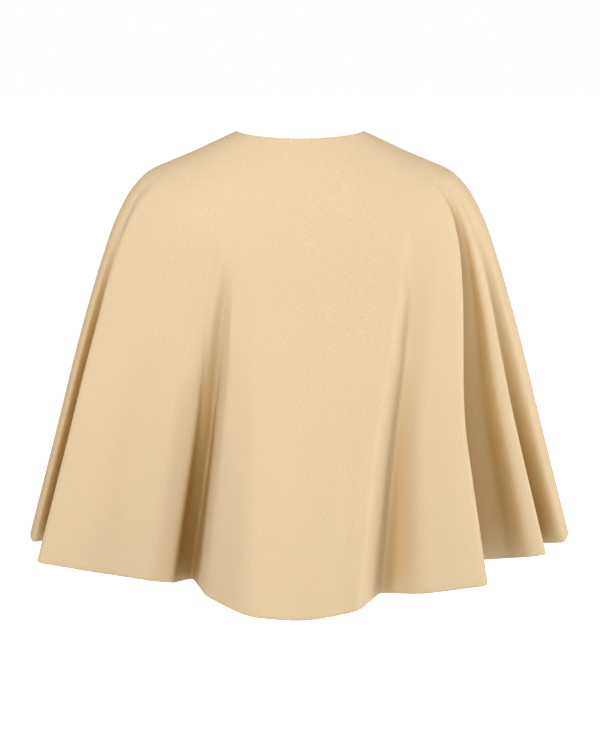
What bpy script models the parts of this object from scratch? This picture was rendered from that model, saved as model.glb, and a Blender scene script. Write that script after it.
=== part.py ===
"""A short collarless wool cape in its worn, filled-out form, with an open neck and hem.

Metres, +Z up. +Y is the wearer's front and +X is the wearer's right side.
The origin is the middle between the two neck points, where the shoulders carry the cape.
"""

import math

import bpy
import numpy as np

# Driving dimensions, in metres

CLOTH = 0.0022  # thickness of the felted wool
SEAM_GAP = 0.0003  # between two pieces that are sewn together
FACING_CLOTH = 0.0011  # thickness of the thinner facing
FACING_DOWN = 0.148  # where the facing's lower edge lies, as a share of the way to the hem
FACING_NECK_STEP = 0.004  # the facing's upper edge, just below the neck edge, as such a share
SIDE_SEAM_ANGLE = 5.0  # degrees in front of the widest point, on both sides
CENTRE_FRONT_ANGLE = 90.0
FULL_TURN = 360.0
SQUARENESS = 0.05  # how much fuller than an ellipse the rings are at their four corners

# The cape without its folds, as level rings. Each row is one ring:
# share of the way down the cloth, half width, drop at the side,
# depth at the back, drop there, depth at the front, drop there.

LEVELS = (
    (0.00, 0.0825, 0.000, 0.065, 0.007, 0.070, 0.075),
    (0.05, 0.1110, 0.013, 0.083, 0.031, 0.082, 0.100),
    (0.10, 0.1390, 0.026, 0.100, 0.057, 0.095, 0.126),
    (0.15, 0.1700, 0.039, 0.115, 0.084, 0.106, 0.152),
    (0.20, 0.1970, 0.052, 0.127, 0.112, 0.117, 0.178),
    (0.25, 0.2190, 0.075, 0.137, 0.139, 0.126, 0.204),
    (0.30, 0.2350, 0.103, 0.146, 0.167, 0.135, 0.230),
    (0.40, 0.2580, 0.163, 0.164, 0.225, 0.151, 0.282),
    (0.50, 0.2770, 0.224, 0.184, 0.283, 0.167, 0.333),
    (0.60, 0.2940, 0.284, 0.204, 0.340, 0.182, 0.384),
    (0.75, 0.3180, 0.377, 0.238, 0.425, 0.206, 0.459),
    (1.00, 0.3590, 0.533, 0.298, 0.567, 0.250, 0.583),
)

# The plan of the hem, all round from the wearer's right side. Each row is one fold line,
# a crest or a valley: its name, where it meets the hem (x, y), its angle round the shoulders
# and round the hem, the rounding of its edge, how far down the cloth it starts, and how much
# lower its hem hangs.

FOLD_LINES = (
    ("right side", 0.361, 0.012, -10, -10, 0.030, 0.20, 0.000),
    ("right front crest 1", 0.347, 0.072, 11, 13, 0.034, 0.30, 0.000),
    ("right front valley 1", 0.288, 0.082, 21, 27, 0.030, 0.28, 0.000),
    ("right front crest 2", 0.262, 0.165, 30, 39, 0.036, 0.28, 0.000),
    ("right front valley 2", 0.186, 0.138, 43, 52, 0.030, 0.30, 0.000),
    ("right front crest 3", 0.148, 0.222, 55, 63, 0.034, 0.30, 0.000),
    ("right front valley 3", 0.092, 0.196, 67, 73, 0.030, 0.35, 0.000),
    ("right front edge", 0.052, 0.246, 80, 82, 0.036, 0.40, 0.000),
    ("left front edge", -0.054, 0.247, 100, 98, 0.036, 0.40, 0.000),
    ("left front valley 3", -0.106, 0.186, 114, 108, 0.032, 0.34, 0.000),
    ("left front crest 3", -0.160, 0.219, 127, 119, 0.036, 0.30, 0.000),
    ("left front valley 2", -0.206, 0.126, 140, 131, 0.030, 0.28, 0.000),
    ("left front crest 2", -0.280, 0.152, 151, 142, 0.038, 0.27, 0.000),
    ("left front valley 1", -0.298, 0.074, 161, 155, 0.028, 0.27, 0.000),
    ("left front crest 1", -0.350, 0.060, 170, 168, 0.032, 0.30, 0.000),
    ("left side", -0.362, 0.010, 188, 188, 0.024, 0.18, 0.000),
    ("left strip crest", -0.353, -0.041, 195, 197, 0.025, 0.17, 0.000),
    ("left strip valley", -0.318, -0.004, 200.5, 202, 0.012, 0.17, 0.000),
    ("left panel outer crest", -0.3385, -0.127, 206, 206, 0.020, 0.17, 0.000),
    ("left panel middle", -0.245, -0.146, 224, 227, 0.030, 0.20, 0.000),
    ("left panel inner crest", -0.160, -0.147, 241, 246, 0.018, 0.22, 0.000),
    ("left deep valley", -0.159, -0.108, 244, 248.5, 0.016, 0.28, 0.009),
    ("left valley floor", -0.139, -0.090, 247, 250.5, 0.012, 0.27, 0.008),
    ("left deep flank", -0.118, -0.200, 248.5, 252.5, 0.022, 0.27, 0.000),
    ("centre panel left crest", -0.066, -0.285, 257, 260, 0.042, 0.27, 0.000),
    ("centre back", 0.000, -0.301, 272, 270, 0.030, 0.27, 0.000),
    ("centre panel right crest", 0.0742, -0.277, 303, 297, 0.014, 0.26, 0.000),
    ("right soft valley", 0.101, -0.192, 308, 304.5, 0.014, 0.22, 0.006),
    ("right panel middle", 0.152, -0.226, 318, 308, 0.025, 0.17, 0.000),
    ("right panel crest", 0.2355, -0.197, 331.5, 313, 0.016, 0.20, 0.000),
    ("right deep valley", 0.226, -0.050, 333, 316, 0.012, 0.15, 0.008),
    ("outer panel floor", 0.270, -0.052, 334.4, 320, 0.016, 0.16, 0.007),
    ("outer panel inner crest", 0.298, -0.092, 335.6, 324, 0.026, 0.16, -0.003),
    ("outer panel outer crest", 0.321, -0.085, 337, 327, 0.022, 0.15, -0.003),
    ("outer panel valley", 0.311, -0.008, 339.5, 331.5, 0.015, 0.19, 0.004),
    ("right strip crest", 0.350, -0.035, 343.5, 339, 0.024, 0.19, 0.000),
)

ROUNDING_COLUMN = 4  # of a fold line's numbers
CONTROLS_PER_LINE = 3
LONGEST_ROUNDING = 0.45  # of the distance to the next fold line
FOLD_START = 0.10  # how softly a fold starts: it deepens evenly below this share of its run
HANGING_STRAIGHT = 0.72  # share down by which a fold line has gone to its angle at the hem
TURN_SAMPLES = 20000  # for finding the turn that belongs to an angle

# How finely the cloth is divided

COLUMNS_PER_FOLD_LINE = 4
ROWS = (
    0.0,
    FACING_NECK_STEP,
    0.05,
    0.10,
    FACING_DOWN,
    0.17,
    0.20,
    0.235,
    0.28,
    0.35,
    0.45,
    0.55,
    0.66,
    0.77,
    0.88,
    1.0,
)
SEAM_STRIP = 0.15  # the narrow column beside a seam, as a share of the next column

# Colours

CAMEL = (0.80, 0.62, 0.38)
CAMEL_FACING = (0.76, 0.58, 0.35)
WOOL_ROUGHNESS = 0.95


def smooth_column(places, values, at):
    """A smooth curve through the values at those places, read at the places in `at`."""
    slopes = np.gradient(values, places)
    right = np.clip(np.searchsorted(places, at, side="right"), 1, len(places) - 1)
    left = right - 1
    step = places[right] - places[left]
    share = (at - places[left]) / step
    rise = share * share * (3.0 - 2.0 * share)
    leave = share * (1.0 - share) ** 2 * step
    arrive = -share * share * (1.0 - share) * step
    smooth = values[left] * (1.0 - rise) + values[right] * rise
    return smooth + slopes[left] * leave + slopes[right] * arrive


def bare_form(angle, down):
    """The cape without folds: points for arrays of angles in degrees and shares down."""
    levels = np.array(LEVELS)
    half_width, side_drop, back_depth, back_drop, front_depth, front_drop = (
        smooth_column(levels[:, 0], levels[:, column], down) for column in range(1, 7)
    )
    across = np.cos(np.radians(angle))
    along = np.sin(np.radians(angle))
    depth = np.where(along < 0.0, back_depth, front_depth)
    drop = np.where(along < 0.0, back_drop, front_drop)
    height = -(side_drop * across**2 + drop * along**2)
    fuller = 1.0 + SQUARENESS * (2.0 * across * along) ** 2
    return np.stack([half_width * across * fuller, depth * along * fuller, height], axis=-1)


def hem_plan():
    """The control points of the hem's plan, three to a fold line: each one's place, its
    angles at the shoulders and at the hem, where its fold starts and its sag."""
    lines = np.array([row[1:] for row in FOLD_LINES])
    rounding = lines[:, ROUNDING_COLUMN]
    middles = np.delete(lines, ROUNDING_COLUMN, axis=1)
    once_round = np.array([0.0, 0.0, FULL_TURN, FULL_TURN, 0.0, 0.0])
    before = np.roll(middles, 1, axis=0)
    before[0] -= once_round
    after = np.roll(middles, -1, axis=0)
    after[-1] += once_round
    controls = []
    for here, last, following, reach in zip(middles, before, after, rounding):
        to_last, to_following = last - here, following - here
        controls.append(here + to_last * rounding_share(to_last, reach))
        controls.append(here)
        controls.append(here + to_following * rounding_share(to_following, reach))
    return np.array(controls)


def rounding_share(edge, reach):
    """How far along an edge of the plan its rounding reaches, as a share of the edge."""
    return min(LONGEST_ROUNDING, reach / math.hypot(edge[0], edge[1]))


def along_hem(turn):
    """The smooth closed plan of the hem at `turn`, which counts its control points."""
    controls = hem_plan()
    count = len(controls)
    span = np.floor(turn).astype(int)
    share = (turn - span)[..., None]
    weights = (
        (1.0 - share) ** 3,
        3.0 * share**3 - 6.0 * share**2 + 4.0,
        -3.0 * share**3 + 3.0 * share**2 + 3.0 * share + 1.0,
        share**3,
    )
    plan = np.zeros(share.shape[:-1] + (controls.shape[1],))
    for offset, weight in enumerate(weights):
        index = span + offset - 1
        control = controls[index % count].copy()
        control[..., 2:4] += FULL_TURN * (index // count)[..., None]
        plan += weight * control / 6.0
    return plan


def soft_step(value):
    """0 below 0, 1 above 1, and smooth between."""
    value = np.clip(value, 0.0, 1.0)
    return value * value * (3.0 - 2.0 * value)


def cloth(turn, down):
    """Points on the outer face of the cloth, for arrays of turns and shares down."""
    plan = along_hem(turn)
    at_shoulders, at_hem, onset, sag = (plan[..., column] for column in range(2, 6))
    angle = at_shoulders + (at_hem - at_shoulders) * soft_step(down / HANGING_STRAIGHT)
    points = bare_form(angle, down)
    push = plan[..., :2] - bare_form(at_hem, np.ones_like(down))[..., :2]
    below = np.clip((down - onset) / (1.0 - onset), 0.0, 1.0)
    deepened = below**2 * (1.0 + FOLD_START) / (below + FOLD_START)
    points[..., :2] += push * deepened[..., None]
    points[..., 2] -= sag * deepened
    return points


def turn_at(angle):
    """The turn at which the cloth comes down to that angle at the hem."""
    last_turn = CONTROLS_PER_LINE * 2.0 * len(FOLD_LINES)
    turns = np.linspace(-1.0, last_turn, TURN_SAMPLES)
    return float(np.interp(angle, along_hem(turns)[:, 3], turns))


def panel_turns(first_angle, last_angle):
    """The turns of a panel's columns, with a narrow column beside each seam."""
    first, last = turn_at(first_angle), turn_at(last_angle)
    fold_lines = (last - first) / CONTROLS_PER_LINE
    inner = np.linspace(first, last, round(fold_lines * COLUMNS_PER_FOLD_LINE) + 1)
    strip = SEAM_STRIP * (inner[1] - inner[0])
    return np.concatenate([[first, first + strip], inner[1:-1], [last - strip, last]])


def panel_points(first_angle, last_angle, rows):
    """A grid of points on a panel's outer face, drawn in by half the gap at both seams."""
    turns, downs = np.meshgrid(panel_turns(first_angle, last_angle), rows)
    points = cloth(turns, downs)
    for edge, inner in ((0, 1), (-1, -2)):
        aside = points[:, inner] - points[:, edge]
        length = np.linalg.norm(aside, axis=1, keepdims=True)
        points[:, edge] += aside / length * SEAM_GAP / 2.0
    return points


def outward(points):
    """The unit normals of a grid of points, away from the wearer."""
    across = np.gradient(points, axis=1)
    down = np.gradient(points, axis=0)
    normals = np.cross(down, across)
    return normals / np.linalg.norm(normals, axis=2, keepdims=True)


def wool(name, colour):
    material = bpy.data.materials.new(name)
    material.use_nodes = True
    shader = material.node_tree.nodes["Principled BSDF"]
    shader.inputs["Base Color"].default_value = (*colour, 1.0)
    shader.inputs["Roughness"].default_value = WOOL_ROUGHNESS
    shader.inputs["Metallic"].default_value = 0.0
    return material


def cut_piece(name, points, thickness, material, collection):
    """A piece of cloth: a loft through the rows of points, thickened towards the wearer."""
    rows, columns = points.shape[:2]
    faces = []
    for row in range(rows - 1):
        for column in range(columns - 1):
            corner = row * columns + column
            faces.append((corner, corner + columns, corner + columns + 1, corner + 1))
    mesh = bpy.data.meshes.new(name)
    mesh.from_pydata(points.reshape(-1, 3).tolist(), [], faces)
    mesh.shade_smooth()
    mesh.materials.append(material)
    piece = bpy.data.objects.new(name, mesh)
    collection.objects.link(piece)
    wall = piece.modifiers.new("wall", "SOLIDIFY")
    wall.thickness = thickness
    wall.offset = -1.0
    return piece


def clear_scene():
    for old in list(bpy.data.objects):
        bpy.data.objects.remove(old)


def main():
    clear_scene()
    collection = bpy.data.collections.new("wool_cape")
    bpy.context.scene.collection.children.link(collection)
    camel = wool("camel wool", CAMEL)
    facing = wool("camel facing", CAMEL_FACING)

    right_seam = SIDE_SEAM_ANGLE
    left_seam = FULL_TURN / 2.0 - SIDE_SEAM_ANGLE
    rows = np.array(ROWS)
    back = panel_points(left_seam, right_seam + FULL_TURN, rows)
    cut_piece("back", back, CLOTH, camel, collection)
    front_right = panel_points(right_seam, CENTRE_FRONT_ANGLE, rows)
    cut_piece("front_right", front_right, CLOTH, camel, collection)
    front_left = panel_points(CENTRE_FRONT_ANGLE, left_seam, rows)
    cut_piece("front_left", front_left, CLOTH, camel, collection)

    behind = back - outward(back) * (CLOTH + SEAM_GAP)
    band = slice(ROWS.index(FACING_NECK_STEP), ROWS.index(FACING_DOWN) + 1)
    cut_piece("back_neck_facing", behind[band], FACING_CLOTH, facing, collection)


main()
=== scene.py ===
"""The looks of a short collarless wool cape, worn and filled out, seen from behind.

Metres, +Z up. +Y is the wearer's front and +X is the wearer's right side.
"""

import math

import bpy
import numpy as np
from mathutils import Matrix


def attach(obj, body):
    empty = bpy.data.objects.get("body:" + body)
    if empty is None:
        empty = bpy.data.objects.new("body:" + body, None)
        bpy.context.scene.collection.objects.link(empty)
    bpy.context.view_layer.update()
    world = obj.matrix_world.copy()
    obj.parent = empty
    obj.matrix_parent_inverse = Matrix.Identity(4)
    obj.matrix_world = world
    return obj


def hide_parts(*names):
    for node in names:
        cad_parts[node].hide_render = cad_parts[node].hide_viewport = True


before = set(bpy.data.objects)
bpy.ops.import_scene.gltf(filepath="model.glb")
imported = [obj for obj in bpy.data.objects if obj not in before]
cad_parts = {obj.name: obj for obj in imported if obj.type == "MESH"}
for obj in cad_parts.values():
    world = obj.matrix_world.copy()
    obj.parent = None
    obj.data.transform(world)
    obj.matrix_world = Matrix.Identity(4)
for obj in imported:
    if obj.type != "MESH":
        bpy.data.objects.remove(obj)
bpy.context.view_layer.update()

# The cape's own sizes, in metres

CLOTH = 0.0022  # thickness of the felted wool
SEAM_GAP = 0.0003  # between two pieces that are sewn together
FACING_CLOTH = 0.0011  # thickness of the thinner facing
FACING_DOWN = 0.148  # the facing's lower edge, as a share of the way to the hem
FACING_NECK_STEP = 0.004  # its upper edge, just below the neck edge
SIDE_SEAM_ANGLE = 5.0  # degrees in front of the widest point, on both sides
CENTRE_FRONT_ANGLE = 90.0
FULL_TURN = 360.0
SQUARENESS = 0.05  # how much fuller than an ellipse the rings are at their four corners

# The cape without its folds, as level rings. Each row is one ring:
# share of the way down the cloth, half width, drop at the side,
# depth at the back, drop there, depth at the front, drop there.

LEVELS = (
    (0.00, 0.0825, 0.000, 0.065, 0.007, 0.070, 0.075),
    (0.05, 0.1110, 0.013, 0.083, 0.031, 0.082, 0.100),
    (0.10, 0.1390, 0.026, 0.100, 0.057, 0.095, 0.126),
    (0.15, 0.1700, 0.039, 0.115, 0.084, 0.106, 0.152),
    (0.20, 0.1970, 0.052, 0.127, 0.112, 0.117, 0.178),
    (0.25, 0.2190, 0.075, 0.137, 0.139, 0.126, 0.204),
    (0.30, 0.2350, 0.103, 0.146, 0.167, 0.135, 0.230),
    (0.40, 0.2580, 0.163, 0.164, 0.225, 0.151, 0.282),
    (0.50, 0.2770, 0.224, 0.184, 0.283, 0.167, 0.333),
    (0.60, 0.2940, 0.284, 0.204, 0.340, 0.182, 0.384),
    (0.75, 0.3180, 0.377, 0.238, 0.425, 0.206, 0.459),
    (1.00, 0.3590, 0.533, 0.298, 0.567, 0.250, 0.583),
)

# The plan of the hem, all round from the wearer's right side. Each row is one fold line,
# a crest or a valley: its name, where it meets the hem (x, y), its angle round the shoulders
# and round the hem, the rounding of its edge, how far down the cloth it starts, and how much
# lower its hem hangs.

FOLD_LINES = (
    ("right side", 0.361, 0.012, -10, -10, 0.030, 0.20, 0.000),
    ("right front crest 1", 0.347, 0.072, 11, 13, 0.034, 0.30, 0.000),
    ("right front valley 1", 0.288, 0.082, 21, 27, 0.030, 0.28, 0.000),
    ("right front crest 2", 0.262, 0.165, 30, 39, 0.036, 0.28, 0.000),
    ("right front valley 2", 0.186, 0.138, 43, 52, 0.030, 0.30, 0.000),
    ("right front crest 3", 0.148, 0.222, 55, 63, 0.034, 0.30, 0.000),
    ("right front valley 3", 0.092, 0.196, 67, 73, 0.030, 0.35, 0.000),
    ("right front edge", 0.052, 0.246, 80, 82, 0.036, 0.40, 0.000),
    ("left front edge", -0.054, 0.247, 100, 98, 0.036, 0.40, 0.000),
    ("left front valley 3", -0.106, 0.186, 114, 108, 0.032, 0.34, 0.000),
    ("left front crest 3", -0.160, 0.219, 127, 119, 0.036, 0.30, 0.000),
    ("left front valley 2", -0.206, 0.126, 140, 131, 0.030, 0.28, 0.000),
    ("left front crest 2", -0.280, 0.152, 151, 142, 0.038, 0.27, 0.000),
    ("left front valley 1", -0.298, 0.074, 161, 155, 0.028, 0.27, 0.000),
    ("left front crest 1", -0.350, 0.060, 170, 168, 0.032, 0.30, 0.000),
    ("left side", -0.362, 0.010, 188, 188, 0.024, 0.18, 0.000),
    ("left strip crest", -0.353, -0.041, 195, 197, 0.025, 0.17, 0.000),
    ("left strip valley", -0.318, -0.004, 200.5, 202, 0.012, 0.17, 0.000),
    ("left panel outer crest", -0.3385, -0.127, 206, 206, 0.020, 0.17, 0.000),
    ("left panel middle", -0.245, -0.146, 224, 227, 0.030, 0.20, 0.000),
    ("left panel inner crest", -0.160, -0.147, 241, 246, 0.018, 0.22, 0.000),
    ("left deep valley", -0.159, -0.108, 244, 248.5, 0.016, 0.28, 0.009),
    ("left valley floor", -0.139, -0.090, 247, 250.5, 0.012, 0.27, 0.008),
    ("left deep flank", -0.118, -0.200, 248.5, 252.5, 0.022, 0.27, 0.000),
    ("centre panel left crest", -0.066, -0.285, 257, 260, 0.042, 0.27, 0.000),
    ("centre back", 0.000, -0.301, 272, 270, 0.030, 0.27, 0.000),
    ("centre panel right crest", 0.0742, -0.277, 303, 297, 0.014, 0.26, 0.000),
    ("right soft valley", 0.101, -0.192, 308, 304.5, 0.014, 0.22, 0.006),
    ("right panel middle", 0.152, -0.226, 318, 308, 0.025, 0.17, 0.000),
    ("right panel crest", 0.2355, -0.197, 331.5, 313, 0.016, 0.20, 0.000),
    ("right deep valley", 0.226, -0.050, 333, 316, 0.012, 0.15, 0.008),
    ("outer panel floor", 0.270, -0.052, 334.4, 320, 0.016, 0.16, 0.007),
    ("outer panel inner crest", 0.298, -0.092, 335.6, 324, 0.026, 0.16, -0.003),
    ("outer panel outer crest", 0.321, -0.085, 337, 327, 0.022, 0.15, -0.003),
    ("outer panel valley", 0.311, -0.008, 339.5, 331.5, 0.015, 0.19, 0.004),
    ("right strip crest", 0.350, -0.035, 343.5, 339, 0.024, 0.19, 0.000),
)

ROUNDING_COLUMN = 4  # of a fold line's numbers
CONTROLS_PER_LINE = 3  # control points of the hem's plan
LONGEST_ROUNDING = 0.45  # of the distance to the next fold line
FOLD_START = 0.10  # how softly a fold starts: it deepens evenly below this share of its run
HANGING_STRAIGHT = 0.72  # share down by which a fold line has gone to its angle at the hem
TURN_SAMPLES = 20000  # for finding the turn that belongs to an angle

# The soft creases within the panels. Each row: name, angle round the shoulders, its half
# width in degrees, where it fades in and out as shares of the way down, and its height.

CREASES = (
    ("left panel trough", 228.0, 5.5, 0.45, 1.30, -0.0045),
    ("left panel ridge", 240.0, 3.6, 0.40, 1.30, 0.0042),
    ("shoulder blade trough left", 239.0, 4.5, 0.28, 0.62, -0.0022),
    ("shoulder blade ridge left", 245.5, 3.5, 0.28, 0.60, 0.0020),
    ("shoulder blade trough inner", 252.0, 4.5, 0.26, 0.66, -0.0028),
    ("centre panel left trough", 263.0, 5.0, 0.55, 1.30, -0.0012),
    ("centre panel right trough", 290.0, 3.0, 0.50, 1.30, -0.0020),
    ("soft valley head", 304.0, 3.0, 0.20, 0.55, -0.0026),
    ("right panel trough", 308.9, 1.2, 0.50, 1.30, -0.0026),
    ("right shoulder ridge", 322.0, 4.0, 0.18, 0.50, 0.0018),
    ("left shoulder ridge", 207.0, 5.0, 0.18, 0.50, 0.0018),
    ("right front ridge", 68.0, 4.0, 0.30, 0.95, 0.0025),
    ("right front trough", 57.0, 3.5, 0.25, 0.70, -0.0022),
    ("right front shoulder ridge", 40.0, 5.0, 0.18, 0.50, 0.0020),
    ("left front trough", 123.0, 4.0, 0.28, 0.80, -0.0024),
    ("left front ridge", 112.0, 3.5, 0.35, 1.10, 0.0022),
    ("left front shoulder ridge", 145.0, 5.0, 0.18, 0.52, 0.0020),
)

CREASE_FADE = 1.6  # above 1, a crease has its full height over part of its run

# Edges and seams

HEM_TURN_UP = 0.034  # depth of the hem turned up inside
TURN_UP_CLOTH = 0.0014  # what the turned-up hem adds to the thickness inside
TURN_UP_SOFTNESS = 0.004  # how gently the thickness changes at its upper edge
FACING_RAISE = 0.0007  # how far the facing lifts the cloth that lies on it
FACING_RAISE_SOFTNESS = 0.010  # how gently, as a share of the way down
FACING_FADE = 8.0  # degrees in which the facing's impression fades in from a side seam
SEAM_GROOVE = 0.0007  # depth of the groove along a seam
SEAM_GROOVE_WIDTH = 0.0030  # to either side of the seam
RIM_STEPS = 6  # facets round the rounded edge of the cloth
CAPE_LENGTH = 0.62  # along the cloth from the neck edge to the hem

# The cut, a sector of a ring for each piece, laid flat: inner radius and angle in degrees

BACK_CUT = (0.155, 105.0)
FRONT_CUT = (0.160, 41.0)

# How finely the cloth is divided

BACK_COLUMNS = 270
FRONT_COLUMNS = 150
CLOTH_ROWS = 150
FACING_ROWS = 30
SPACING_SAMPLES = 4000  # for finding where the columns lie
SHOULDER_SPACING = 0.5  # how far the columns also spread evenly round the shoulders

# Hand stitches inside the cape, along the turned-up hem and the facing's lower edge

STITCH_SPACING = 0.009
STITCH_LENGTH = 0.0035
STITCH_THICKNESS = 0.0005
STITCH_SLANT = 0.9  # radians, across the edge that is sewn down
STITCH_SIDES = 6
STITCH_RINGS = 4

# Colours, linear

CAMEL = (0.518, 0.421, 0.286)
CAMEL_DEEP = (0.478, 0.384, 0.253)  # between the fibres of the nap
# Painted shade: a darker, more saturated camel put into the cloth's colour in deep folds, in place
# of the shade that falls there
CAMEL_PAINTED_FOLD_SHADE = (0.440, 0.290, 0.110)  # within a deep fold
CAMEL_FACING = (0.490, 0.397, 0.265)
THREAD = (0.44, 0.31, 0.17)
NAP_GLOW = (1.0, 0.90, 0.80)
PALE_FLOOR = (0.93, 0.93, 0.93)
WHITE = (1.0, 1.0, 1.0)

# Darker tones of a colour, as shares of it

CLOUD_SHADE = 0.975
WEFT_SHADE = 0.93
FACING_SHADE = 0.93
TWIST_SHADE = 0.7

# The wool's finish

WOOL_ROUGHNESS = 0.95
WOOL_SPECULAR = 0.15
NAP_SHEEN = 0.06
NAP_SHEEN_ROUGHNESS = 0.55
# Painted shade in the folds: where other cloth lies near, the cloth's colour goes over into the
# painted fold shade tone
PAINTED_SHADE_REACH = 0.10  # how near other cloth must be to make a fold
PAINTED_SHADE_SAMPLES = 8
PAINTED_SHADE_TONE = (0.24, 0.76)  # how open the cloth lies in a deep fold and on a panel

# The wool's patterns that follow the flat cut. Each row: name, how often it repeats in a
# metre along the three axes, its turn in radians, its detail and its roughness.

CUT_PATTERNS = (
    ("weft", (420.0, 1500.0, 1.0), 0.0, 2.0, 0.5),
    ("brushed", (1500.0, 380.0, 1.0), 0.35, 2.0, 0.55),
)

# Its patterns in space. Each row: name, how often it repeats in a metre, detail, roughness.

SPACE_PATTERNS = (
    ("fibres", 1900.0, 2.0, 0.6),
    ("clumps", 260.0, 3.0, 0.6),
    ("clouds", 9.0, 2.0, 0.5),
)

# Where a pattern's tone starts and ends, as shares of the pattern

CLOUD_TONE = (0.35, 0.65)
BRUSHED_TONE = (0.38, 0.66)
WEFT_TONE = (0.42, 0.70)

# The wool's relief. Each row: pattern, strength, height in metres.

WOOL_RELIEF = (
    ("clumps", 0.22, 0.0012),
    ("weft", 0.20, 0.0005),
    ("brushed", 0.25, 0.0005),
    ("fibres", 0.25, 0.0004),
)

# The sewing thread's finish

THREAD_ROUGHNESS = 0.7
TWIST = (2600.0, 1.0, 0.5)  # how often the twist repeats in a metre, its detail and roughness
TWIST_RELIEF = (0.3, 0.0002)  # strength and height in metres

# How the nodes of a material lie in the node editor

NODES_IN_A_ROW = 6
NODE_STEP = (240.0, -400.0)

# The floor and the background, with their distances in metres

FLOOR_HEIGHT = -1.45
FLOOR_REACH = 40.0
FLOOR_ROUGHNESS = 0.9
GLOW_BEHIND = (0.7, 1.7)  # behind the cape the floor goes over into the white background
GLOW_FAR_OFF = (2.6, 5.0)  # and far off it does so on every side
ROOM_LIGHT = 0.06
WHITE_BACKGROUND = 1.0
PICTURE_GAMMA = 0.8  # a soft contrast curve, as in the photograph

# Studio lights: name, degrees to the right of the camera, degrees up, size, watts

LIGHT_TARGET = (0.0, -0.1, -0.3)
LIGHT_DISTANCE = 3.2
STUDIO_LIGHTS = (
    ("main softbox", -25.0, 30.0, 1.2, 65.0),
    ("second softbox", 25.0, 28.0, 1.4, 39.0),
    ("top softbox", 0.0, 60.0, 1.4, 35.0),
    ("left side softbox", -75.0, 0.0, 1.2, 26.0),
    ("high left softbox", -90.0, 58.0, 1.2, 26.0),
    ("right side softbox", 98.0, 0.0, 1.2, 62.0),
    ("right softbox", 62.0, 4.0, 1.2, 22.0),
    ("high right softbox", 100.0, 50.0, 1.2, 12.0),
)

# Camera, in the photograph's frame

CAMERA_DISTANCE = 2.8
CAMERA_HEIGHT = 0.15
NECK_POINT_ROW = 131.0  # the pixel row of the neck points
IMAGE_HEIGHT = 750.0
FOCAL_PIXELS = 2154.0
SENSOR = 36.0  # the camera's default, in millimetres
CAMERA_REACH = 100.0


def smooth_column(places, values, at):
    """A smooth curve through the values at those places, read at the places in `at`."""
    slopes = np.gradient(values, places)
    right = np.clip(np.searchsorted(places, at, side="right"), 1, len(places) - 1)
    left = right - 1
    step = places[right] - places[left]
    share = (at - places[left]) / step
    rise = share * share * (3.0 - 2.0 * share)
    leave = share * (1.0 - share) ** 2 * step
    arrive = -share * share * (1.0 - share) * step
    smooth = values[left] * (1.0 - rise) + values[right] * rise
    return smooth + slopes[left] * leave + slopes[right] * arrive


def bare_form(angle, down):
    """The cape without folds: points for arrays of angles in degrees and shares down."""
    levels = np.array(LEVELS)
    half_width, side_drop, back_depth, back_drop, front_depth, front_drop = (
        smooth_column(levels[:, 0], levels[:, column], down) for column in range(1, 7)
    )
    across = np.cos(np.radians(angle))
    along = np.sin(np.radians(angle))
    depth = np.where(along < 0.0, back_depth, front_depth)
    drop = np.where(along < 0.0, back_drop, front_drop)
    height = -(side_drop * across**2 + drop * along**2)
    fuller = 1.0 + SQUARENESS * (2.0 * across * along) ** 2
    return np.stack([half_width * across * fuller, depth * along * fuller, height], axis=-1)


def hem_plan():
    """The control points of the hem's plan, three to a fold line: each one's place, its
    angles at the shoulders and at the hem, where its fold starts and its sag."""
    lines = np.array([row[1:] for row in FOLD_LINES])
    rounding = lines[:, ROUNDING_COLUMN]
    middles = np.delete(lines, ROUNDING_COLUMN, axis=1)
    once_round = np.array([0.0, 0.0, FULL_TURN, FULL_TURN, 0.0, 0.0])
    before = np.roll(middles, 1, axis=0)
    before[0] -= once_round
    after = np.roll(middles, -1, axis=0)
    after[-1] += once_round
    controls = []
    for here, last, following, reach in zip(middles, before, after, rounding):
        to_last, to_following = last - here, following - here
        controls.append(here + to_last * rounding_share(to_last, reach))
        controls.append(here)
        controls.append(here + to_following * rounding_share(to_following, reach))
    return np.array(controls)


def rounding_share(edge, reach):
    """How far along an edge of the plan its rounding reaches, as a share of the edge."""
    return min(LONGEST_ROUNDING, reach / math.hypot(edge[0], edge[1]))


def along_hem(turn):
    """The smooth closed plan of the hem at `turn`, which counts its control points."""
    controls = hem_plan()
    count = len(controls)
    span = np.floor(turn).astype(int)
    share = (turn - span)[..., None]
    weights = (
        (1.0 - share) ** 3,
        3.0 * share**3 - 6.0 * share**2 + 4.0,
        -3.0 * share**3 + 3.0 * share**2 + 3.0 * share + 1.0,
        share**3,
    )
    plan = np.zeros(share.shape[:-1] + (controls.shape[1],))
    for offset, weight in enumerate(weights):
        index = span + offset - 1
        control = controls[index % count].copy()
        control[..., 2:4] += FULL_TURN * (index // count)[..., None]
        plan += weight * control / 6.0
    return plan


def soft_step(value):
    """0 below 0, 1 above 1, and smooth between."""
    value = np.clip(value, 0.0, 1.0)
    return value * value * (3.0 - 2.0 * value)


def cloth(turn, down):
    """Points on the outer face of the cloth, for arrays of turns and shares down."""
    plan = along_hem(turn)
    at_shoulders, at_hem, onset, sag = (plan[..., column] for column in range(2, 6))
    angle = at_shoulders + (at_hem - at_shoulders) * soft_step(down / HANGING_STRAIGHT)
    points = bare_form(angle, down)
    push = plan[..., :2] - bare_form(at_hem, np.ones_like(down))[..., :2]
    below = np.clip((down - onset) / (1.0 - onset), 0.0, 1.0)
    deepened = below**2 * (1.0 + FOLD_START) / (below + FOLD_START)
    points[..., :2] += push * deepened[..., None]
    points[..., 2] -= sag * deepened
    return points


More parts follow.
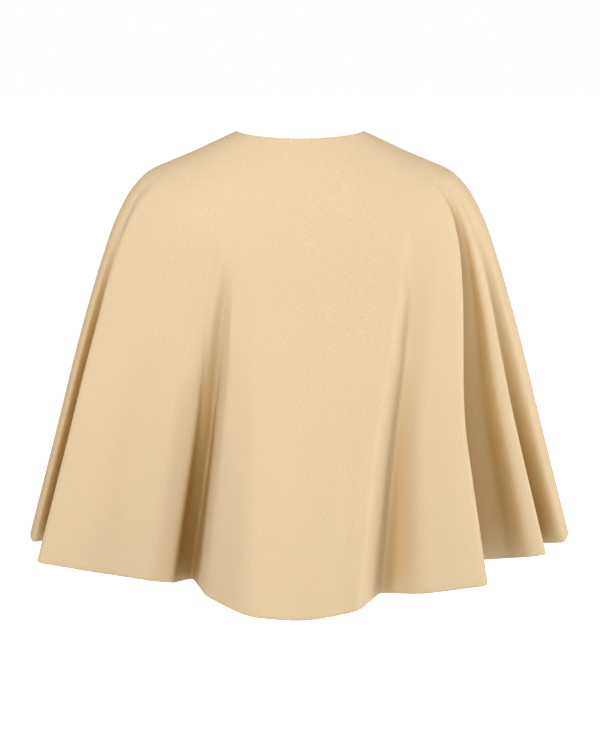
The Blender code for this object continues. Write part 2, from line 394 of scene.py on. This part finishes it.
def crease_height(angle, down):
    """How far the soft creases and the facing's impression lift the cloth."""
    height = np.zeros_like(down)
    for _, centre, half_width, start, end, lift in CREASES:
        aside = (angle - centre) / half_width
        middle, half_run = (start + end) / 2.0, (end - start) / 2.0
        fade = soft_step(CREASE_FADE * (1.0 - np.abs(down - middle) / half_run))
        height += lift * fade * np.exp(-aside * aside)
    behind = soft_step((angle % FULL_TURN - FULL_TURN / 2.0) / FACING_FADE)
    behind *= soft_step((FULL_TURN - angle % FULL_TURN) / FACING_FADE)
    over_facing = 1.0 - soft_step((down - FACING_DOWN) / FACING_RAISE_SOFTNESS + 0.5)
    return height + FACING_RAISE * over_facing * behind


def turn_at(angle):
    """The turn at which the cloth comes down to that angle at the hem."""
    twice_round = 2.0 * CONTROLS_PER_LINE * len(FOLD_LINES)
    turns = np.linspace(-1.0, twice_round, TURN_SAMPLES)
    return float(np.interp(angle, along_hem(turns)[:, 3], turns))


def even_turns(first_angle, last_angle, count):
    """Turns between two angles, close together where the hem bends or is long."""
    turns = np.linspace(turn_at(first_angle), turn_at(last_angle), SPACING_SAMPLES)
    plan = along_hem(turns)
    steps = np.hypot(np.diff(plan[:, 0]), np.diff(plan[:, 1]))
    so_far = np.concatenate([[0.0], np.cumsum(steps)])
    weight = so_far / so_far[-1]
    weight += (turns - turns[0]) / (turns[-1] - turns[0])
    at_shoulders = plan[:, 2] - plan[0, 2]
    weight += SHOULDER_SPACING * at_shoulders / at_shoulders[-1]
    return np.interp(np.linspace(0.0, weight[-1], count), weight, turns)


def outward(points):
    """The unit normals of a grid of points, away from the wearer."""
    normals = np.cross(np.gradient(points, axis=0), np.gradient(points, axis=1))
    return normals / np.linalg.norm(normals, axis=2, keepdims=True)


def panel_skins(first_angle, last_angle, columns, downs, sunk=0.0):
    """The outer points, their normals, and the shares across, of one piece of the cape."""
    turns, down = np.meshgrid(even_turns(first_angle, last_angle, columns), downs)
    points = cloth(turns, down)
    normals = outward(points)
    angle = along_hem(turns)[..., 3]
    points = points + normals * (crease_height(angle, down) - sunk)[..., None]
    from_edge = np.cumsum(np.linalg.norm(np.diff(points, axis=1), axis=2), axis=1)
    from_edge = np.concatenate([np.zeros((len(downs), 1)), from_edge], axis=1)
    to_edge = from_edge[:, -1:] - from_edge
    nearest = np.minimum(from_edge, to_edge)
    groove = SEAM_GROOVE * np.exp(-((nearest / SEAM_GROOVE_WIDTH) ** 2))
    points -= normals * groove[..., None]
    for edge, inner in ((0, 1), (-1, -2)):
        aside = points[:, inner] - points[:, edge]
        length = np.linalg.norm(aside, axis=1, keepdims=True)
        points[:, edge] += aside / length * SEAM_GAP / 2.0
    return points, outward(points), from_edge[-1] / from_edge[-1, -1]


def rim(outer, inner, away):
    """Points round a rounded edge, from the outer face to the inner one."""
    middle = (outer + inner) / 2.0
    reach = (outer - inner) / 2.0
    size = np.linalg.norm(reach, axis=1, keepdims=True)
    turns = np.linspace(0.0, math.pi, RIM_STEPS + 1)[1:-1]
    return np.array([middle + reach * math.cos(t) + away * size * math.sin(t) for t in turns])


def unit(vectors):
    return vectors / np.linalg.norm(vectors, axis=-1, keepdims=True)


def cut_piece(name, skins, downs, thickness, cut, material, node):
    """One piece of cloth with both faces and rounded edges, and its flat cut as its UV map."""
    outer, normals, across = skins
    rows, columns = outer.shape[:2]
    inner = outer - normals * thickness[:, None, None]
    hem_rim = rim(outer[-1], inner[-1], unit(outer[-1] - outer[-2]))
    neck_rim = rim(inner[0], outer[0], unit(outer[0] - outer[1]))
    loop = np.concatenate([outer, hem_rim, inner[::-1], neck_rim])
    round_loop = len(loop)
    faces = []
    for step in range(round_loop):
        here, beyond = step * columns, (step + 1) % round_loop * columns
        for column in range(columns - 1):
            faces.append((here + column, beyond + column, beyond + column + 1, here + column + 1))
    inner_start = rows + len(hem_rim)
    for column, turned in ((0, True), (columns - 1, False)):
        for row in range(rows - 1):
            far = inner_start + rows - 1 - row
            quad = [row, row + 1, far - 1, far]
            faces.append(end_face(quad, column, columns, turned))
        hem_end = list(range(rows - 1, inner_start + 1))
        faces.append(end_face(hem_end, column, columns, turned))
        neck_end = list(range(inner_start + rows - 1, round_loop)) + [0]
        faces.append(end_face(neck_end, column, columns, turned))
    mesh = bpy.data.meshes.new(name)
    mesh.from_pydata(loop.reshape(-1, 3).tolist(), [], faces)
    lay_flat(mesh, loop_downs(downs, len(hem_rim), len(neck_rim)), across, cut)
    mesh.shade_smooth()
    mesh.materials.append(material)
    piece = bpy.data.objects.new(name, mesh)
    bpy.context.scene.collection.objects.link(piece)
    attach(piece, "root")
    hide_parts(node)
    return piece


def end_face(steps, column, columns, turned):
    """A face across the cut end of a piece, turned to point out of it."""
    corners = [step * columns + column for step in steps]
    return tuple(reversed(corners)) if turned else tuple(corners)


def loop_downs(downs, hem_steps, neck_steps):
    """The share down of each row of a piece's closed loop."""
    hem = np.full(hem_steps, downs[-1])
    neck = np.full(neck_steps, downs[0])
    return np.concatenate([downs, hem, downs[::-1], neck])


def lay_flat(mesh, downs, across, cut):
    """The UV map: where each point lies in the flat cut, in metres."""
    inner_radius, sector = cut
    radius = inner_radius + downs[:, None] * CAPE_LENGTH
    turn = np.radians(sector) * (across[None, :] - 0.5)
    flat = np.stack([radius * np.sin(turn), -radius * np.cos(turn)], axis=-1).reshape(-1, 2)
    corner_points = np.zeros(len(mesh.loops), dtype=np.int32)
    mesh.loops.foreach_get("vertex_index", corner_points)
    layer = mesh.uv_layers.new(name="flat cut")
    layer.data.foreach_set("uv", flat[corner_points].astype(np.float32).ravel())


def add_node(tree, kind, **settings):
    """A new node, beside the one that was made before it."""
    row, column = divmod(len(tree.nodes), NODES_IN_A_ROW)
    node = tree.nodes.new(kind)
    node.location = (column * NODE_STEP[0], (row + 1) * NODE_STEP[1])
    for name, value in settings.items():
        setattr(node, name, value)
    return node


def noise(tree, vector, scale, detail, roughness):
    node = add_node(tree, "ShaderNodeTexNoise")
    tree.links.new(vector, node.inputs["Vector"])
    node.inputs["Scale"].default_value = scale
    node.inputs["Detail"].default_value = detail
    node.inputs["Roughness"].default_value = roughness
    return node.outputs["Fac"]


def stretched(tree, vector, stretch, turn):
    node = add_node(tree, "ShaderNodeMapping")
    tree.links.new(vector, node.inputs["Vector"])
    node.inputs["Scale"].default_value = stretch
    node.inputs["Rotation"].default_value = (0.0, 0.0, turn)
    return node.outputs["Vector"]


def colour_mix(tree, share, low, high):
    """From the low colour at share 0 to the high one at 1; each is a tuple or a socket."""
    node = add_node(tree, "ShaderNodeMix", data_type="RGBA")
    tree.links.new(share, node.inputs["Factor"])
    for name, colour in (("A", low), ("B", high)):
        socket = [s for s in node.inputs if s.name == name and s.type == "RGBA"][0]
        if isinstance(colour, tuple):
            socket.default_value = (*colour, 1.0)
        else:
            tree.links.new(colour, socket)
    return [s for s in node.outputs if s.type == "RGBA"][0]


def darker(colour, share):
    return tuple(share * part for part in colour)


def contrast(tree, value, low, high):
    """The value as a share of the way from low to high."""
    node = add_node(tree, "ShaderNodeMapRange")
    tree.links.new(value, node.inputs["Value"])
    node.inputs["From Min"].default_value = low
    node.inputs["From Max"].default_value = high
    return node.outputs["Result"]


def bump(tree, pattern, strength, height, normal=None):
    node = add_node(tree, "ShaderNodeBump")
    tree.links.new(pattern, node.inputs["Height"])
    node.inputs["Strength"].default_value = strength
    node.inputs["Distance"].default_value = height
    if normal is not None:
        tree.links.new(normal, node.inputs["Normal"])
    return node.outputs["Normal"]


def wool(name, light, deep, painted_fold_shade):
    """Felted wool: a faint weave under a short brushed nap, with shade painted into its colour
    within the folds.
    """
    material = bpy.data.materials.new(name)
    material.use_nodes = True
    tree = material.node_tree
    shader = tree.nodes["Principled BSDF"]
    shader.inputs["Roughness"].default_value = WOOL_ROUGHNESS
    shader.inputs["Specular IOR Level"].default_value = WOOL_SPECULAR
    shader.inputs["Sheen Weight"].default_value = NAP_SHEEN
    shader.inputs["Sheen Roughness"].default_value = NAP_SHEEN_ROUGHNESS
    shader.inputs["Sheen Tint"].default_value = (*NAP_GLOW, 1.0)

    cut = add_node(tree, "ShaderNodeUVMap", uv_map="flat cut").outputs["UV"]
    space = add_node(tree, "ShaderNodeTexCoord").outputs["Object"]
    patterns = {}
    for pattern, stretch, turn, detail, roughness in CUT_PATTERNS:
        vector = stretched(tree, cut, stretch, turn)
        patterns[pattern] = noise(tree, vector, 1.0, detail, roughness)
    for pattern, scale, detail, roughness in SPACE_PATTERNS:
        patterns[pattern] = noise(tree, space, scale, detail, roughness)

    clouds = contrast(tree, patterns["clouds"], *CLOUD_TONE)
    tone = colour_mix(tree, clouds, light, darker(light, CLOUD_SHADE))
    brushed = contrast(tree, patterns["brushed"], *BRUSHED_TONE)
    tone = colour_mix(tree, brushed, tone, deep)
    weft = contrast(tree, patterns["weft"], *WEFT_TONE)
    tone = colour_mix(tree, weft, tone, darker(deep, WEFT_SHADE))
    # painted shade: the colour darkens towards the painted fold shade tone where other cloth is
    # near
    painted_shade_occlusion = add_node(tree, "ShaderNodeAmbientOcclusion", samples=PAINTED_SHADE_SAMPLES)
    painted_shade_occlusion.inputs["Distance"].default_value = PAINTED_SHADE_REACH
    unshaded_share = contrast(tree, painted_shade_occlusion.outputs["AO"], *PAINTED_SHADE_TONE)
    tone = colour_mix(tree, unshaded_share, painted_fold_shade, tone)
    tree.links.new(tone, shader.inputs["Base Color"])

    normal = None
    for pattern, strength, height in WOOL_RELIEF:
        normal = bump(tree, patterns[pattern], strength, height, normal)
    tree.links.new(normal, shader.inputs["Normal"])
    return material


def sewing_thread():
    """Twisted sewing thread, a little darker than the cloth."""
    material = bpy.data.materials.new("sewing thread")
    material.use_nodes = True
    tree = material.node_tree
    shader = tree.nodes["Principled BSDF"]
    shader.inputs["Roughness"].default_value = THREAD_ROUGHNESS
    space = add_node(tree, "ShaderNodeTexCoord").outputs["Object"]
    twist = noise(tree, space, *TWIST)
    tone = colour_mix(tree, twist, darker(THREAD, TWIST_SHADE), THREAD)
    tree.links.new(tone, shader.inputs["Base Color"])
    tree.links.new(bump(tree, twist, *TWIST_RELIEF), shader.inputs["Normal"])
    return material


def stitch_tree(material):
    """Geometry Nodes that lay short slanted stitches along a line."""
    tree = bpy.data.node_groups.new("hand stitches", "GeometryNodeTree")
    sockets = tree.interface
    sockets.new_socket("Geometry", in_out="INPUT", socket_type="NodeSocketGeometry")
    for name in ("Spacing", "Stitch Length", "Thread Thickness", "Slant"):
        sockets.new_socket(name, in_out="INPUT", socket_type="NodeSocketFloat")
    sockets.new_socket("Geometry", in_out="OUTPUT", socket_type="NodeSocketGeometry")
    given = add_node(tree, "NodeGroupInput")
    line = add_node(tree, "GeometryNodeMeshToCurve")
    spaced = add_node(tree, "GeometryNodeResampleCurve", mode="LENGTH")
    thread = add_node(tree, "GeometryNodeMeshUVSphere")
    thread.inputs["Segments"].default_value = STITCH_SIDES
    thread.inputs["Rings"].default_value = STITCH_RINGS
    thread.inputs["Radius"].default_value = 0.5  # a ball that is 1 across takes the sizes given
    size = add_node(tree, "ShaderNodeCombineXYZ")
    shaped = add_node(tree, "GeometryNodeTransform")
    tangent = add_node(tree, "GeometryNodeInputTangent")
    aim = add_node(tree, "FunctionNodeAlignRotationToVector", axis="X")
    lean = add_node(tree, "ShaderNodeCombineXYZ")
    slanted = add_node(tree, "FunctionNodeRotateRotation", rotation_space="LOCAL")
    placed = add_node(tree, "GeometryNodeInstanceOnPoints")
    real = add_node(tree, "GeometryNodeRealizeInstances")
    finish = add_node(tree, "GeometryNodeSetMaterial")
    finish.inputs["Material"].default_value = material
    out = add_node(tree, "NodeGroupOutput")
    joins = (
        (given.outputs["Geometry"], line.inputs["Mesh"]),
        (line.outputs["Curve"], spaced.inputs["Curve"]),
        (given.outputs["Spacing"], spaced.inputs["Length"]),
        (given.outputs["Stitch Length"], size.inputs["X"]),
        (given.outputs["Thread Thickness"], size.inputs["Y"]),
        (given.outputs["Thread Thickness"], size.inputs["Z"]),
        (thread.outputs["Mesh"], shaped.inputs["Geometry"]),
        (size.outputs["Vector"], shaped.inputs["Scale"]),
        (tangent.outputs["Tangent"], aim.inputs["Vector"]),
        (aim.outputs["Rotation"], slanted.inputs["Rotation"]),
        (given.outputs["Slant"], lean.inputs["Z"]),
        (lean.outputs["Vector"], slanted.inputs["Rotate By"]),
        (slanted.outputs["Rotation"], placed.inputs["Rotation"]),
        (spaced.outputs["Curve"], placed.inputs["Points"]),
        (shaped.outputs["Geometry"], placed.inputs["Instance"]),
        (placed.outputs["Instances"], real.inputs["Geometry"]),
        (real.outputs["Geometry"], finish.inputs["Geometry"]),
        (finish.outputs["Geometry"], out.inputs["Geometry"]),
    )
    for source, target in joins:
        tree.links.new(source, target)
    return tree


def stitch_run(name, points, tree):
    """A run of stitches along the points, made a plain mesh."""
    line = bpy.data.meshes.new(name + " line")
    line.from_pydata(points.tolist(), [(i, i + 1) for i in range(len(points) - 1)], [])
    guide = bpy.data.objects.new(name + " guide", line)
    bpy.context.scene.collection.objects.link(guide)
    sewing = guide.modifiers.new("sewing", "NODES")
    sewing.node_group = tree
    sizes = {
        "Spacing": STITCH_SPACING,
        "Stitch Length": STITCH_LENGTH,
        "Thread Thickness": STITCH_THICKNESS,
        "Slant": STITCH_SLANT,
    }
    for socket in tree.interface.items_tree:
        if socket.name in sizes:
            sewing[socket.identifier] = sizes[socket.name]
    evaluated = guide.evaluated_get(bpy.context.evaluated_depsgraph_get())
    mesh = bpy.data.meshes.new_from_object(evaluated)
    bpy.data.objects.remove(guide)
    mesh.shade_smooth()
    run = bpy.data.objects.new(name, mesh)
    bpy.context.scene.collection.objects.link(run)
    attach(run, "root")


def wall_thickness(downs):
    """The wall's thickness down the cloth: the hem is turned up inside."""
    above_hem = (1.0 - downs) * CAPE_LENGTH
    turned = soft_step((HEM_TURN_UP - above_hem) / TURN_UP_SOFTNESS + 0.5)
    return CLOTH + TURN_UP_CLOTH * turned


def make_cape():
    camel = wool("camel wool", CAMEL, CAMEL_DEEP, CAMEL_PAINTED_FOLD_SHADE)
    facing_deep_and_painted_shade = darker(CAMEL_FACING, FACING_SHADE)
    # The facing's darker nap tone also serves as its painted fold shade
    facing_wool = wool("camel facing", CAMEL_FACING, facing_deep_and_painted_shade, facing_deep_and_painted_shade)
    sewing = stitch_tree(sewing_thread())
    right_seam = SIDE_SEAM_ANGLE
    left_seam = FULL_TURN / 2.0 - SIDE_SEAM_ANGLE
    back_edges = (left_seam, right_seam + FULL_TURN)
    pieces = (
        ("back", back_edges, BACK_COLUMNS, BACK_CUT),
        ("front_right", (right_seam, CENTRE_FRONT_ANGLE), FRONT_COLUMNS, FRONT_CUT),
        ("front_left", (CENTRE_FRONT_ANGLE, left_seam), FRONT_COLUMNS, FRONT_CUT),
    )
    downs = np.linspace(0.0, 1.0, CLOTH_ROWS)
    thickness = wall_thickness(downs)
    turn_up_starts = 1.0 - (HEM_TURN_UP + TURN_UP_SOFTNESS / 2.0) / CAPE_LENGTH
    sewn_row = int(turn_up_starts * (CLOTH_ROWS - 1))
    for node, edges, columns, cut in pieces:
        skins = panel_skins(*edges, columns, downs)
        outer, normals, _ = skins
        inside = outer - normals * (CLOTH + STITCH_THICKNESS / 2.0)
        stitch_run(node + "_hem_stitches", inside[sewn_row], sewing)
        piece = cut_piece(node + "_cloth", skins, downs, thickness, cut, camel, node)

    band = np.linspace(FACING_NECK_STEP, FACING_DOWN, FACING_ROWS)
    inside_back = CLOTH + SEAM_GAP + FACING_RAISE
    skins = panel_skins(*back_edges, BACK_COLUMNS, band, inside_back)
    outer, normals, _ = skins
    inside = outer - normals * FACING_CLOTH
    stitch_run("facing_stitches", inside[-1], sewing)
    wall = np.full(FACING_ROWS, FACING_CLOTH)
    facing = cut_piece("facing_cloth", skins, band, wall, BACK_CUT, facing_wool, "back_neck_facing")


def make_camera():
    down_angle = math.atan(CAMERA_HEIGHT / CAMERA_DISTANCE)
    down_angle += math.atan((IMAGE_HEIGHT / 2.0 - NECK_POINT_ROW) / FOCAL_PIXELS)
    data = bpy.data.cameras.new("photo camera")
    data.sensor_width = SENSOR
    data.lens = FOCAL_PIXELS / IMAGE_HEIGHT * SENSOR
    data.clip_end = CAMERA_REACH
    camera = bpy.data.objects.new("photo camera", data)
    camera.location = (0.0, -CAMERA_DISTANCE, CAMERA_HEIGHT)
    camera.rotation_euler = (math.pi / 2.0 - down_angle, 0.0, 0.0)
    bpy.context.scene.collection.objects.link(camera)
    bpy.context.scene.camera = camera


def soft_light(name, side_angle, height_angle, size, watts):
    """A square soft light, aimed at the cape from an angle beside and above the camera."""
    data = bpy.data.lights.new(name, "AREA")
    data.shape = "SQUARE"
    data.size = size
    data.energy = watts
    light = bpy.data.objects.new(name, data)
    side, up = math.radians(side_angle), math.radians(height_angle)
    away = (math.sin(side) * math.cos(up), -math.cos(side) * math.cos(up), math.sin(up))
    light.location = np.array(LIGHT_TARGET) + LIGHT_DISTANCE * np.array(away)
    light.rotation_euler = (math.pi / 2.0 - up, 0.0, side)
    bpy.context.scene.collection.objects.link(light)


def make_floor():
    """A pale floor that goes over into the white background behind the cape and far off."""
    mesh = bpy.data.meshes.new("floor")
    signs = ((-1, -1), (1, -1), (1, 1), (-1, 1))
    corners = [(x * FLOOR_REACH, y * FLOOR_REACH, 0.0) for x, y in signs]
    mesh.from_pydata(corners, [], [(0, 1, 2, 3)])
    floor = bpy.data.objects.new("floor", mesh)
    floor.location = (0.0, 0.0, FLOOR_HEIGHT)
    paint = bpy.data.materials.new("pale floor")
    paint.use_nodes = True
    tree = paint.node_tree
    shader = tree.nodes["Principled BSDF"]
    shader.inputs["Base Color"].default_value = (*PALE_FLOOR, 1.0)
    shader.inputs["Roughness"].default_value = FLOOR_ROUGHNESS
    shader.inputs["Emission Color"].default_value = (*WHITE, 1.0)
    space = add_node(tree, "ShaderNodeTexCoord").outputs["Object"]
    split = add_node(tree, "ShaderNodeSeparateXYZ")
    tree.links.new(space, split.inputs["Vector"])
    behind = contrast(tree, split.outputs["Y"], *GLOW_BEHIND)
    length = add_node(tree, "ShaderNodeVectorMath", operation="LENGTH")
    tree.links.new(space, length.inputs[0])
    far_off = contrast(tree, length.outputs["Value"], *GLOW_FAR_OFF)
    glow = add_node(tree, "ShaderNodeMath", operation="MAXIMUM")
    tree.links.new(behind, glow.inputs[0])
    tree.links.new(far_off, glow.inputs[1])
    tree.links.new(glow.outputs["Value"], shader.inputs["Emission Strength"])
    mesh.materials.append(paint)
    bpy.context.scene.collection.objects.link(floor)


def make_background():
    """White where the camera sees it, and only a faint light on the cape."""
    world = bpy.data.worlds.new("studio")
    world.use_nodes = True
    tree = world.node_tree
    sky = tree.nodes["Background"]
    sky.inputs["Color"].default_value = (*WHITE, 1.0)
    sight = add_node(tree, "ShaderNodeLightPath")
    seen = add_node(tree, "ShaderNodeMapRange")
    seen.inputs["To Min"].default_value = ROOM_LIGHT
    seen.inputs["To Max"].default_value = WHITE_BACKGROUND
    tree.links.new(sight.outputs["Is Camera Ray"], seen.inputs["Value"])
    tree.links.new(seen.outputs["Result"], sky.inputs["Strength"])
    bpy.context.scene.world = world
    bpy.context.scene.view_settings.view_transform = "Standard"
    bpy.context.scene.view_settings.gamma = PICTURE_GAMMA


make_cape()
make_camera()
make_floor()
for studio_light in STUDIO_LIGHTS:
    soft_light(*studio_light)
make_background()
